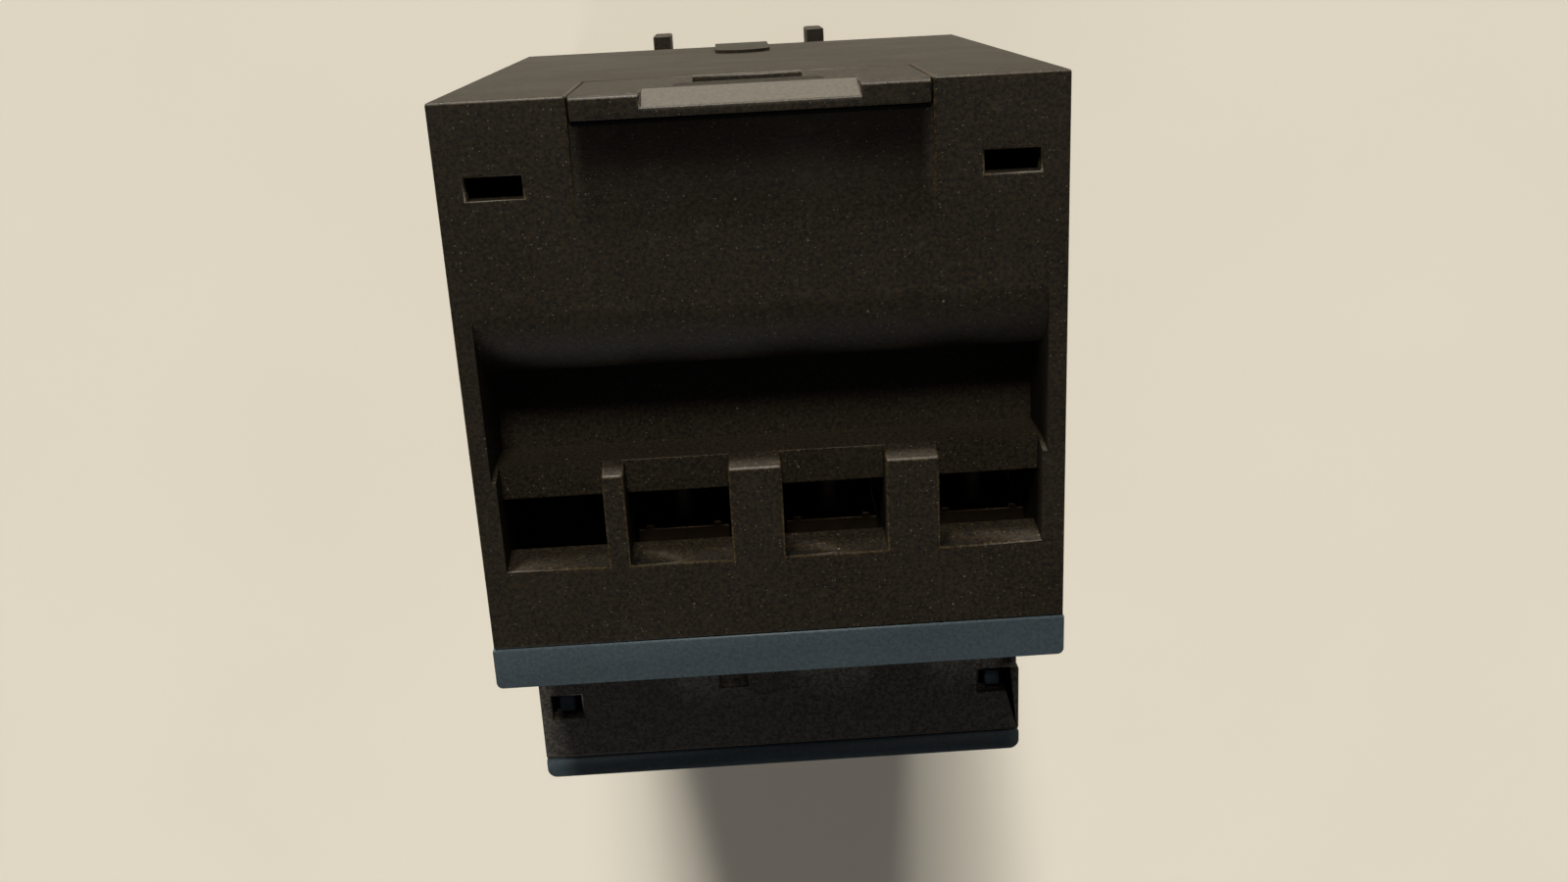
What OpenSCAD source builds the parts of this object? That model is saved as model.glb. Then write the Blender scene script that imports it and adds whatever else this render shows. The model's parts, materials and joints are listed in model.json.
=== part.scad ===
// Motor protection breaker for a 35 mm mounting rail, three poles, rotary handle.
// X runs to the operator's right, the front faces -Y and Z points up. The origin is the
// centre of the rail seat, on the floor of the rail slot. Depths count forward from the
// rear plane, which lies rail_d behind the origin.

/* [Body] */
// Width of the body
body_w = 45; // [44:0.5:46]
// Height of the body, from end face to end face
body_h = 97; // [95:0.5:99]
// Depth of the black rear housing
rear_d = 42; // [41.5:0.5:43]
// Depth of the black front housing, measured from the rear plane
front_d = 62.3; // [61.8:0.1:63]
// Height of the terminal step at each end
step_h = 17.2; // [17:0.1:18]
// Wall thickness of the housings
wall = 1.6; // [1.4:0.1:1.8]

/* [Covers] */
// Thickness of the two terminal covers
terminal_cover_t = 3.4; // [3:0.1:3.8]
// Thickness of the front cover
front_cover_t = 2; // [2:0.1:2.4]
// Radius of the front cover's long front edges
front_cover_r = 0.9; // [0.5:0.1:1.2]

/* [Rail slot] */
// Length of the rear face above the rail slot
upper_len = 53.7; // [53:0.1:54.5]
// Height of the rail slot
rail_h = 35.3; // [35.2:0.1:35.8]
// Depth of the rail slot
rail_d = 5; // [4.9:0.1:5.2]
// Reach of the hooks and the latch nose into the rail slot
hook_reach = 2.2; // [1.8:0.1:2.6]
// Distance of each fixed hook from the centre plane
hook_x = 9.8; // [9:0.1:11]

/* [Terminals] */
// Distance between neighbouring poles
pole_pitch = 12; // [11.9:0.05:12.1]
// Width of each wire opening
opening_w = 7.9; // [7.5:0.1:8]
// Depth position of the wire opening's rear edge
opening_rear = 30.3; // [30.2:0.1:30.5]
// Depth position of the wire opening's front edge, behind its sill
opening_front = 34.8; // [34.6:0.1:35]
// Radius of the screwdriver hole in a terminal cover
driver_r = 3.3; // [3.2:0.05:3.4]

/* [Handle] */
// Diameter of the rotary handle
knob_dia = 27; // [25:0.5:28]
// Height of the handle above the front cover
knob_out = 10.7; // [10:0.1:11]
// Height of the handle's axis above the rail centre line
knob_z = 20.4; // [19:0.1:21]
// Travel of the contact carrier from off to on
carrier_travel = 3; // [2.9:0.05:3]

/* [Hidden] */
$fn = 48;

// A cut runs this far past the face that it opens
over = 1;
// Y of a depth that counts from the rear plane
function y_at(d) = rail_d - d;
// Clearance between pieces that are fitted together
gap = 0.1;
half_w = body_w / 2;
z_top = rail_h / 2 + upper_len;
z_bottom = z_top - body_h;
// Inner face of the side walls
inner_x = half_w - wall;
// The three poles, from left to right, and the spare chamber to their left
pole_x = [for (i = [0:2]) pole_pitch * (i - 0.6)];
spare_x = -1.4 * pole_pitch;
chamber_x = concat([spare_x], pole_x);
// Walls between neighbouring lanes inside the rear housing
lane_wall_x = [for (i = [0:2]) pole_pitch * (i - 1.1) + (i == 0 ? 1.2 : 0)];
lane_wall_t = 1;
lane_wall_front = 31;

// End face, as distances from the end plane (e) and from the rear plane (depth)
panel_e = 2;
groove_e = 6.3;
groove_x = half_w - 1.4;
lip_start = 15.2;
lip_r = 5.6;
ledge_d = 27.5;
rib_chamfer_d = 28.1;
sill_d = 35.5;
slot_x = 18.4;
slot_w = 4;
slot_d = [5.3, 6.9];
end_wall_e = 8;
// Thickness of the floor of the rail slot, and how far forward the hollow reaches
// behind the terminal blocks
slot_floor_t = 2;
hollow_front = 36;
chamber_e = [3.2, 15.4];
screw_e = 9.4;
// Copper bars and what stands on them
bar_t = 1.2;
bar_front = opening_rear;
bar_rear = bar_front - bar_t;
bar_half_w = 3;
clamp_t = 1.3;
clamp_rear = 34.9;
screw_r = 1.75;
head_r = 2.9;
head_t = 2.6;
screw_relief = 0.35;
// Contact system, as distances from the upper end plane (e)
bridge_e = 31;
tip_spread = 7;
tip_t = 0.8;
tip_r = 1.7;
bridge_rear = bar_front + 2 * tip_t + carrier_travel + gap;
bridge_window = [bridge_rear - gap, 37.9];
carrier_d = [38, 40.6];
striker_travel = 1.8;
spring_seat_d = 21;
coil_d = [7.5, 24];
coil_r = 3.9;
// Trip parts, as distances from the upper end plane (e)
bimetal_e = [50.5, 78.3];
trip_e = [46.6, 48.6];
trip_d = [14, 18];
trip_travel = 1.2;
test_travel = 1.8;
// Mechanism
knob_e = z_top - knob_z;
cover_front = front_d + front_cover_t;
// Snap hooks of the front cover
hook_at = 20.05;
hook_d = [56, 57.7];
floor_d = [rear_d, rear_d + 1.5];
floor_hole_r = 8.5;
well_r = knob_dia / 2 + 0.8;
well_floor = cover_front - 1;
shaft_r = 3.5;
cam_rear = 44.2;
cam_t = 2.3;
post_at = 6.1;
post_r = 1;
// Dial and test plunger, side by side under the handle
dial_x = 11.5;
dial_z = -0.6;
dial_r = 5.4;
dial_shaft_r = 1.4;
dial_front = cover_front + 0.9;
test_x = -11.5;
label_x = [-8.2, 3.4];
label_e = [66.9, 75.9];
label_t = 0.6;
// Bay of the auxiliary switch
bay_half = 18;
bay_e = [20, 33.4];
test_w = [3.6, 6.4];
test_tip_d = 40.9;
wedge_front = 43.5;
wedge_x = -13.2;
// Housing screws, as [x, e]
housing_screw_at = [[-18.6, 22], [-18.6, 75], [18.5, 54], [18.5, 75]];
boss_r = 2.5;
boss_rear = 24;
// Latch
// The raised seat inside the rail slot ends short of the hooks and the nose
seat_half = 14;
latch_head_half = 12.7;
latch_head_len = 13;
latch_t = 1.8;
shank_half = 2.6;
shank_d = [2, 3.7];
shank_e = 7.1;
latch_slide_e = 4;
fin_e = 33.8;
// Zigzag spring of the latch: its channel, its ribbon and its turns
spring_x = [3.2, 8.4];
spring_e = 22;
zigzag_d = [2.3, 3.4];
zigzag_t = 0.3;
zigzag_step = 2.2;
zigzag_n = 5;
// Where the shallow recess in front of the head ends, and how deep it is
recess_end_d = 8.6;
recess_e = 0.45;
// The head lies this far inside the rear plane and the end plane
latch_rear = 0.05;
latch_e = 0.1;
ramp_half = 7.7;
grip_half = 4.2;
grip_depth = 0.6;

// An interval that reaches half a width to either side of its middle, and an interval moved along
function about(middle, half) = [middle - half, middle + half];
function moved(interval, by) = [interval[0] + by, interval[1] + by];

// A block between two x, two depths in front of the rear plane and two z
module slab(x, d, z) {
  translate([x[0], y_at(d[1]), z[0]]) cube([x[1] - x[0], d[1] - d[0], z[1] - z[0]]);
}

// A round bar along the depth
module rod(x, z, r, d) {
  translate([x, y_at(d[0]), z]) rotate([90, 0, 0]) cylinder(h = d[1] - d[0], r = r);
}

// Turns heights into distances from the upper or the lower end plane
module from_top() { translate([0, 0, z_top]) mirror([0, 0, 1]) children(); }
module from_bottom() { translate([0, 0, z_bottom]) children(); }
module at_both_ends() {
  from_top() children();
  from_bottom() children();
}

// A profile of [e, depth] points, drawn out along x
module end_profile(x, points) {
  multmatrix([[0, 0, 1, x[0]], [0, -1, 0, rail_d], [1, 0, 0, 0], [0, 0, 0, 1]])
    linear_extrude(x[1] - x[0]) polygon(points);
}

// A profile of [x, depth] points, drawn out along z
module flat_profile(z, points) {
  translate([0, rail_d, z[0]]) mirror([0, 1, 0]) linear_extrude(z[1] - z[0]) polygon(points);
}

// A plate whose two long front edges are round
module front_plate(z, d, r, half) {
  translate([0, rail_d, z[0]]) linear_extrude(z[1] - z[0]) union() {
    translate([-half, r - d[1]]) square([2 * half, d[1] - d[0] - r]);
    translate([r - half, -d[1]]) square([2 * half - 2 * r, r + 0.01]);
    for (s = [-1, 1]) translate([s * (half - r), r - d[1]]) circle(r);
  }
}

// A helical spring along z, from 0 to len
function helix_point(r, len, turns, t) =
  [r * cos(360 * turns * t), r * sin(360 * turns * t), len * t];
module spring(r, wire, len, turns) {
  steps = 12;
  sides = 6;
  rings = steps * turns;
  points = [
    for (i = [0:rings])
      let (t = i / rings, a = 360 * turns * t, c = helix_point(r - wire, len - 2 * wire, turns, t))
        for (k = [0:sides - 1])
          let (b = 360 * k / sides)
            [c[0] + wire * cos(b) * cos(a), c[1] + wire * cos(b) * sin(a), c[2] + wire + wire * sin(b)]
  ];
  skin = [
    for (i = [0:rings - 1]) for (k = [0:sides - 1])
      let (n = (k + 1) % sides)
        [i * sides + n, (i + 1) * sides + n, (i + 1) * sides + k, i * sides + k]
  ];
  start_cap = [[for (k = [sides - 1:-1:0]) k]];
  end_cap = [[for (k = [0:sides - 1]) rings * sides + k]];
  polyhedron(points, concat(skin, start_cap, end_cap), convexity = 4);
}

// ---- Rear housing ----

// The scooped groove across the end, with its round upper lip
module end_groove() {
  lip = [for (a = [0:10:90]) [lip_r * (1 - cos(a)), lip_start + lip_r * sin(a)]];
  end_profile([-groove_x, groove_x], concat([[-over, lip_start]], lip, [
    [groove_e, lip_start + lip_r], [groove_e, ledge_d], [panel_e, ledge_d],
    [0, rib_chamfer_d], [-over, rib_chamfer_d]
  ]));
}

// A wire opening: the set-back panel over it, the hole and the sloping sill
module wire_opening(x) {
  span = about(x, opening_w / 2);
  end_profile(span, [
    [-over, ledge_d - gap], [panel_e, ledge_d - gap], [panel_e, opening_rear],
    [chamber_e[0] + over, opening_rear], [chamber_e[0] + over, opening_front],
    [chamber_e[0], opening_front], [0, sill_d], [-over, sill_d]
  ]);
}

module terminal_chamber(x) {
  slab(about(x, opening_w / 2), [bar_rear - gap, rear_d + over], chamber_e);
}

module lug_slots() {
  for (s = [-1, 1])
    slab(about(s * slot_x, slot_w / 2), slot_d, [-over, end_wall_e + over]);
}

// The hollow behind the terminal blocks, over the rail slot and under the front housing
module rear_cavity() {
  inner = [-inner_x, inner_x];
  slab(inner, [rail_d + slot_floor_t, hollow_front], [z_bottom + end_wall_e, z_top - end_wall_e]);
  slab(inner, [rail_d, rail_d + slot_floor_t + over], [rail_h / 2 + slot_floor_t, z_top - end_wall_e]);
  slab(inner, [hollow_front - over, rear_d + over], [z_bottom + step_h, z_top - step_h]);
}

module terminal_block() {
  at_both_ends() {
    slab([-half_w, half_w], [bar_rear - gap, rear_d], [0, step_h]);
  }
}

module lane_walls() {
  for (x = lane_wall_x)
    slab(about(x, lane_wall_t / 2), [rail_d + 1, lane_wall_front],
      [z_bottom + end_wall_e - 0.5, z_top - end_wall_e + 0.5]);
}

module lane_wall_openings() {
  from_top() {
    slab([-14, 13], [trip_d[0] - 1, trip_d[1] + 1], [trip_e[0] - 1, trip_e[1] + 6]);
  }
}

module boss(x, z) {
  rod(x, z, boss_r, [x < 0 ? rail_d + 1 : boss_rear, rear_d]);
}

// The post under the carrier spring, with a pip that centres the spring
module spring_seat() {
  rod(spare_x, z_top - bridge_e, 3, [rail_d + 1, spring_seat_d]);
  rod(spare_x, z_top - bridge_e, 1.8, [rail_d + 1, spring_seat_d + 2]);
}

module rail_slot() {
  slab([-half_w - over, half_w + over], [-over, rail_d], [-rail_h / 2, rail_h / 2]);
  for (s = [-1, 1])
    slab([-half_w - over, half_w + over], [-over, rail_d + 0.4],
      [min(s * seat_half, s * rail_h / 2), max(s * seat_half, s * rail_h / 2)]);
  slab([-half_w - over, half_w + over], [-over, 2.6], [z_bottom - over, -rail_h / 2]);
}

module rail_hooks() {
  for (s = [-1, 1]) {
    slab(about(s * hook_x, 1.1), [0, rail_d], [z_bottom + 3, -rail_h / 2]);
    slab(about(s * hook_x, 1.1), [0, rail_d - 1.3],
      [-rail_h / 2 - 0.5, hook_reach - rail_h / 2]);
  }
}

// The open pocket of the latch head, and the closed channel of its shank and spring
module latch_channel() {
  // The recess in front of the head fades out into the end face
  recess = [for (a = [0:15:180])
    [recess_e * (1 + cos(a)) / 2, latch_t + (recess_end_d - latch_t) * a / 180]];
  from_top() {
    slab([-latch_head_half - gap, latch_head_half + gap], [-over, latch_t + gap],
      [-over, latch_head_len + gap]);
    slab([-grip_half, grip_half], [-over, grip_depth + gap], [latch_head_len - over, latch_head_len + 0.6]);
    slab([-shank_half - gap, shank_half + gap], [shank_d[0] - gap, shank_d[1] + gap],
      [latch_slide_e, upper_len + over]);
    slab([-shank_half, spring_x[1] + 0.6], [shank_d[0] - gap, shank_d[1] + gap], [spring_e, fin_e + 2.2]);
    end_profile([-latch_head_half - gap, latch_head_half + gap],
      concat([[-over, latch_t]], recess, [[-over, recess_end_d]]));
  }
}

// The low rounded bulge over the latch nose
module nose_bulge() {
  from_top() {
    intersection() {
      translate([0, 0, upper_len - 11]) {
        rod(0, 0, 2.7, [-0.3, 0.7]);
        slab([-2.7, 2.7], [-0.3, 0.7], [0, 11]);
      }
      slab([-3, 3], [-0.3, 0.9], [upper_len - 14, upper_len]);
    }
  }
}

module wire_ways() {
  at_both_ends() {
    end_groove();
    lug_slots();
    for (x = chamber_x) {
      wire_opening(x);
      terminal_chamber(x);
    }
    for (x = pole_x)
      slab([x - bar_half_w - gap, x + bar_half_w + gap], [bar_rear - gap, bar_front + gap],
        [chamber_e[1] - over, step_h + over]);
    for (x = pole_x) rod(x, screw_e, screw_r + screw_relief, [22, bar_rear]);
  }
}

module rear_housing() color([0.10, 0.09, 0.08]) {
  difference() {
    union() {
      difference() {
        slab([-half_w, half_w], [0, rear_d], [z_bottom, z_top]);
        rear_cavity();
        rail_slot();
      }
      terminal_block();
      difference() {
        lane_walls();
        lane_wall_openings();
      }
      for (p = housing_screw_at) boss(p[0], z_top - p[1]);
      spring_seat();
      rail_hooks();
      nose_bulge();
    }
    wire_ways();
    latch_channel();
    for (p = housing_screw_at) rod(p[0], z_top - p[1], 1.3, [28, rear_d + over]);
  }
}

// ---- Front housing and covers ----

module latch_windows() {
  for (s = [-1, 1])
    slab(about(s * hook_at, 1.4), [hook_d[0] - 0.2, hook_d[1] + 0.2], [-over, wall + over]);
}

// The shell between the terminal steps, with its floor over the poles
module front_housing() color([0.11, 0.10, 0.09]) {
  z = [z_bottom + step_h, z_top - step_h];
  difference() {
    slab([-half_w, half_w], [rear_d, front_d], z);
    slab([-inner_x, inner_x], [floor_d[1], front_d + over], [z[0] + wall, z[1] - wall]);
    rod(0, knob_z, floor_hole_r, [rear_d - over, floor_d[1] + over]);
    rod(dial_x, dial_z, 2.2, [rear_d - over, floor_d[1] + over]);
    slab([test_x - 4.2, test_x + 1.2], [rear_d - over, floor_d[1] + over],
      about(dial_z, 2.2));
    for (p = housing_screw_at) rod(p[0], z_top - p[1], 1.5, [rear_d - over, floor_d[1] + over]);
    from_top() translate([0, 0, step_h]) {
      latch_windows();
      slab([-5.5, -3.1], [53.6, 55.9], [-over, 0.9]);
      slab([20.9, half_w + over], [53.6, 55.7], [-over, 1.2]);
    }
    from_bottom() translate([0, 0, step_h]) latch_windows();
  }
}

// The snap hooks that hold the front cover in the housing's windows
module cover_hooks() {
  for (s = [-1, 1]) {
    slab(about(s * hook_at, 0.75), [hook_d[0] - 0.6, front_d + 0.5], moved([0.15, 1.5], wall));
    slab(about(s * hook_at, 0.75), hook_d, [0.5, wall + 0.3]);
  }
}

module front_cover() color([0.20, 0.24, 0.27]) {
  z = [z_bottom + step_h, z_top - step_h];
  difference() {
    union() {
      front_plate(z, [front_d, cover_front], front_cover_r, half_w);
      from_top() translate([0, 0, step_h]) cover_hooks();
      from_bottom() translate([0, 0, step_h]) cover_hooks();
      rod(dial_x, dial_z, dial_r + 1.6, [front_d, cover_front + 0.5]);
      rod(0, knob_z, well_r + 1, [front_d - 0.8, cover_front + 0.6]);
    }
    rod(0, knob_z, well_r, [well_floor, cover_front + over]);
    rod(0, knob_z, shaft_r + 0.4, [front_d - over, cover_front]);
    rod(dial_x, dial_z, dial_r + 0.2, [front_d + 0.6, cover_front + over]);
    rod(dial_x, dial_z, 1.9, [front_d - over, cover_front + over]);
    slab([test_x - test_w[0] / 2 - gap, test_x + test_w[0] / 2 + gap],
      [front_d - over, cover_front + over],
      [dial_z - test_w[1] / 2 - gap, dial_z + test_w[1] / 2 + gap]);
    from_top() {
      slab(bay_half * [-1, 1], [front_d - over, cover_front + over], bay_e);
      slab(label_x + [-gap, gap], [cover_front - label_t - gap, cover_front + over], label_e + [-gap, gap]);
    }
  }
}

// Black cover of the bay for an auxiliary switch
module bay_cover() color([0.10, 0.10, 0.10]) {
  from_top() {
    difference() {
      union() {
        slab((bay_half - gap) * [-1, 1], [front_d + gap, cover_front - 0.2], bay_e + [gap, -gap]);
        slab((bay_half - 3) * [-1, 1], [front_d - 1.6, front_d + 0.2], bay_e + [1.5, -1.5]);
      }
      slab((bay_half - 4) * [-1, 1], [front_d - 1.8, front_d + 0.4], bay_e + [2.5, -2.5]);
      slab([-3, 3], [cover_front - 1.1, cover_front + over], [bay_e[1] - 1.8, bay_e[1]]);
      for (i = [-3:3])
        slab(about(i * 4.6, 1.5), [cover_front - 0.8, cover_front], moved([3, 3.8], bay_e[0]));
    }
  }
}

module name_label() color([0.82, 0.83, 0.82]) {
  from_top() slab(label_x, [cover_front - label_t - gap, cover_front - gap], label_e);
}

// A terminal cover, drawn from its own end plane
module terminal_cover() {
  front = rear_d + terminal_cover_t;
  difference() {
    front_plate([0, step_h - gap], [rear_d, front], 0.5, half_w + gap);
    for (x = pole_x) {
      rod(x, screw_e, driver_r, [rear_d - over, front + over]);
      rod(x, screw_e, driver_r + 0.7, [front - 0.6, front + over]);
    }
    rod(spare_x, screw_e, driver_r, [front - 0.8, front + over]);
    for (x = chamber_x)
      slab(about(x, 3.2), [rear_d - over, rear_d + 1.6], about(screw_e, 4.5));
  }
}
module upper_terminal_cover() color([0.20, 0.24, 0.27]) from_top() terminal_cover();
module lower_terminal_cover() color([0.20, 0.24, 0.27]) from_bottom() terminal_cover();

module housing_screws() color([0.6, 0.6, 0.58]) {
  for (p = housing_screw_at) difference() {
    union() {
      rod(p[0], z_top - p[1], 2.2, [floor_d[1], floor_d[1] + 1.6]);
      rod(p[0], z_top - p[1], 1.25, [29, floor_d[1] + 0.2]);
    }
    for (a = [0, 90]) translate([p[0], y_at(floor_d[1] + 1.7), z_top - p[1]]) rotate([0, a, 0])
      translate([-1.4, 0, -0.3]) cube([2.8, 0.9, 0.6]);
  }
}

// ---- Rail latch ----

module rail_latch() color([0.12, 0.11, 0.10]) {
  from_top() {
    difference() {
      slab([-latch_head_half, latch_head_half], [latch_rear, latch_t], [latch_e, latch_head_len]);
      end_profile([-ramp_half, ramp_half],
        [[-over, -over], [3, -over], [3, latch_rear], [latch_e, 1.1], [-over, 1.1]]);
      end_profile([-latch_head_half - over, latch_head_half + over],
        [[-over, -over], [0.4, -over], [0.4, latch_rear], [latch_e, 0.3], [-over, 0.3]]);
      end_profile([-grip_half, grip_half],
        [[7, -over], [12.4, -over], [12.4, grip_depth], [11.4, grip_depth], [7, latch_rear]]);
    }
    slab([-shank_half, shank_half], [1, shank_d[1]], [shank_e, latch_head_len]);
    slab([-shank_half, shank_half], shank_d, [shank_e, upper_len + hook_reach]);
    slab([0, spring_x[1] + 0.2], shank_d, [fin_e, fin_e + 1.8]);
  }
}

// The zigzag spring between the latch's fin and the end of its channel
module latch_spring() color([0.7, 0.7, 0.72]) {
  from_top() {
    for (i = [0:zigzag_n]) slab(spring_x, zigzag_d, moved([0, zigzag_t], spring_e + 0.2 + i * zigzag_step));
    for (i = [0:zigzag_n - 1])
      slab(moved([0, zigzag_t], i % 2 == 0 ? spring_x[1] - zigzag_t : spring_x[0]), zigzag_d,
        moved([0, zigzag_step + 0.1], spring_e + 0.3 + i * zigzag_step));
  }
}

// ---- Handle ----

module handle() color([0.07, 0.07, 0.07]) {
  base = [well_floor + 0.2, cover_front + 1.4];
  top = cover_front + knob_out;
  difference() {
    union() {
      rod(0, knob_z, knob_dia / 2, base);
      intersection() {
        rod(0, knob_z, knob_dia / 2 - 0.4, [base[1] - 0.2, top]);
        union() {
          slab([-half_w, half_w], [base[1] - 0.2, top], about(knob_z, 4));
          rod(0, knob_z, 7.4, [base[1] - 0.2, top - 4.5]);
        }
      }
    }
    slab([3.9, knob_dia], [top - 6.4, top - 3.8], about(knob_z, 2.9));
    slab([-12, -3.2], [top - 0.5, top + over], about(knob_z, 0.6));
    for (i = [-4:4], s = [-1, 1])
      slab(about(i * 2.4, 0.35), [top - 5.5, top - 1.5], about(knob_z + s * 4.3, 0.7));
    rod(0, knob_z, 2.6, [base[0] - over, base[0] + 5]);
  }
}

// The tab that is pulled out of the handle to take a padlock
module lock_tab() color([0.35, 0.08, 0.06]) {
  top = cover_front + knob_out;
  difference() {
    slab([4.2, 12.6], [top - 6.2, top - 4], about(knob_z, 2.7));
    rod(8, knob_z, 1.9, [top - 8, top]);
    slab([12, 12.9], [top - 5.3, top - 4.9], about(knob_z, 2));
  }
}

module handle_shaft() color([0.65, 0.65, 0.62]) {
  rod(0, knob_z, shaft_r, [cam_rear + cam_t, well_floor]);
  rod(0, knob_z, 2.5, [well_floor - 0.1, well_floor + 5]);
}

// One step of the face cam, ending at an angle about the handle's axis
module cam_step(angle, width, height) {
  difference() {
    rod(0, knob_z, 7.6, [cam_rear - height, cam_rear + 0.2]);
    rod(0, knob_z, 4.6, [cam_rear - height - over, cam_rear + over]);
    translate([0, 0, knob_z]) rotate([0, angle, 0]) translate([-20, -50, -40]) cube([40, 20, 40]);
    translate([0, 0, knob_z]) rotate([0, angle - width, 0]) translate([-20, -50, 0]) cube([40, 20, 40]);
  }
}

// The face cam that drives the contact carrier rearwards, with steps for its two posts
module drive_cam() color([0.75, 0.74, 0.68]) {
  rod(0, knob_z, 8, [cam_rear, cam_rear + cam_t]);
  for (side = [0, 180]) for (k = [0:7])
    cam_step(side - 20 - 10 * k, k == 7 ? 20 : 10, carrier_travel * (k + 1) / 9);
}

module mechanism_frame() color([0.7, 0.7, 0.7]) {
  for (s = [-1, 1]) slab(about(s * 12.5, 0.5), [floor_d[1], 58], about(knob_z, 12));
  difference() {
    slab([-13, 13], [50, 51.2], about(knob_z, 12));
    rod(0, knob_z, shaft_r + 0.06, [49, 52]);
  }
}

// ---- Contacts ----

module contact_carrier() color([0.55, 0.20, 0.12]) {
  from_top() {
    slab([-19.6, 20], carrier_d, about(bridge_e, 2));
    slab([-2.9, 0.5], carrier_d, [bridge_e + 1.9, knob_e + 5]);
    slab([-post_at - 1.2, post_at + 1.2], carrier_d, about(knob_e, 1.5));
    for (x = pole_x) difference() {
      slab(about(x, 2.2), [bridge_rear - 1, carrier_d[0] + gap], about(bridge_e, 2));
      slab(about(x, 1.4), bridge_window, about(bridge_e, 3));
      translate([0, 0, bridge_e]) rod(x, 0, 0.9, [bridge_rear - 2, bridge_rear]);
    }
  }
  for (s = [-1, 1]) rod(s * post_at, knob_z, post_r, [carrier_d[1] - gap, cam_rear - 0.3]);
}

module carrier_spring() color([0.75, 0.75, 0.75]) {
  translate([spare_x, y_at(spring_seat_d), z_top - bridge_e])
    rotate([90, 0, 0]) spring(2.6, 0.3, carrier_d[0] - spring_seat_d, 6);
}

module contact_springs() color([0.75, 0.75, 0.75]) {
  for (x = pole_x) translate([x, y_at(bridge_rear + bar_t), z_top - bridge_e])
    rotate([90, 0, 0]) spring(1.2, 0.2, bridge_window[1] - bridge_rear - bar_t, 3);
}

// A moving contact: a copper strip with a silver tip at each end
module contact_bridge(x) color([0.72, 0.42, 0.25]) {
  from_top() {
    slab(about(x, 1.3), [bridge_rear, bridge_rear + bar_t],
      [bridge_e - tip_spread - 2, bridge_e + tip_spread + 2]);
    for (s = [-1, 1]) translate([0, 0, bridge_e + s * tip_spread])
      rod(x, 0, tip_r, [bridge_rear - tip_t, bridge_rear + 0.2]);
  }
}

// A terminal plate with its thread, carried on to a contact or to a bimetal
module terminal_plate(x, reach) {
  difference() {
    slab(about(x, bar_half_w), [bar_rear, bar_front], [chamber_e[0] + 0.2, reach]);
    rod(x, screw_e, screw_r + 0.05, [bar_rear - over, bar_front + over]);
  }
}

module line_bar(x) color([0.72, 0.42, 0.25]) {
  from_top() {
    terminal_plate(x, bridge_e - tip_spread + 2.4);
    translate([0, 0, bridge_e - tip_spread]) rod(x, 0, tip_r, [bar_front - 0.2, bar_front + tip_t]);
  }
}

module middle_bar(x) color([0.72, 0.42, 0.25]) {
  from_top() {
    translate([0, 0, bridge_e + tip_spread]) rod(x, 0, tip_r, [bar_front - 0.2, bar_front + tip_t]);
    slab(about(x, bar_half_w), [bar_rear, bar_front], [bridge_e + tip_spread - 2.4, 45]);
    slab(about(x, bar_half_w), [20, bar_front], [44, 45]);
  }
}

module load_bar(x) color([0.72, 0.42, 0.25]) {
  from_bottom() {
    terminal_plate(x, step_h + 1.5);
    slab(about(x, bar_half_w), [12, bar_front], [step_h + 0.3, step_h + 1.5]);
  }
}

// A clamp plate with its bent ends, and its screw, drawn from an end plane
module clamp_plate(x) color([0.62, 0.55, 0.36]) {
  difference() {
    union() {
      slab(about(x, 3.7), [clamp_rear, clamp_rear + clamp_t], about(screw_e, 3.6));
      for (s = [-1, 1])
        slab([x + s * 2.75 - 0.35, x + s * 2.75 + 0.35], [clamp_rear - 0.35, clamp_rear + 0.1],
          about(screw_e, 3.6));
    }
    rod(x, screw_e, screw_r + 0.05, [clamp_rear - over, clamp_rear + clamp_t + over]);
  }
}

module clamp_screw(x) color([0.7, 0.69, 0.63]) {
  head = clamp_rear + clamp_t;
  difference() {
    union() {
      rod(x, screw_e, head_r, [head, head + head_t]);
      rod(x, screw_e, screw_r, [bar_rear - 2.4, head + 0.1]);
    }
    slab(about(x, head_r), [head + head_t - 1.3, head + head_t + over],
      about(screw_e, 0.45));
    slab(about(x, 0.45), [head + head_t - 1.3, head + head_t + over],
      about(screw_e, 1.7));
  }
}

// ---- Releases ----

// Short-circuit release: a wound bobbin on its tube
module release_coil(x) color([0.60, 0.32, 0.16]) {
  z = z_top - bridge_e;
  difference() {
    union() {
      rod(x, z, coil_r - 0.5, coil_d);
      for (d = [coil_d[0], coil_d[1] - 0.8]) rod(x, z, coil_r, [d, d + 0.8]);
      for (i = [0:8]) translate([x, y_at(coil_d[0] + 1.7 + i * 1.6), z]) rotate([90, 0, 0])
        rotate_extrude() translate([coil_r - 0.75, 0]) circle(0.65, $fn = 16);
    }
    rod(x, z, 1.75, [coil_d[0] + 1, coil_d[1] + over]);
  }
}

module striker(x) color([0.68, 0.68, 0.68]) {
  z = z_top - bridge_e;
  rod(x, z, 1.65, [coil_d[0] + 4, coil_d[1] - 2]);
  rod(x, z, 0.7, [coil_d[1] - 2.1, bridge_rear - carrier_travel - striker_travel - gap]);
}

module bimetal(x) color([0.66, 0.62, 0.55]) {
  from_top() slab(about(x, 0.45), [13.5, 18.5], [bimetal_e[0], bimetal_e[1] - 0.05]);
}

// The heater ribbon, as flat turns round the bimetal
module heater(x) color([0.45, 0.40, 0.36]) {
  from_top() for (i = [0:9]) difference() {
    slab(about(x, 1.5), [12.4, 19.6], [56 + i * 1.7, 57.1 + i * 1.7]);
    slab(about(x, 0.8), [13.1, 18.9], [55 + i * 1.7, 58 + i * 1.7]);
  }
}

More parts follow.
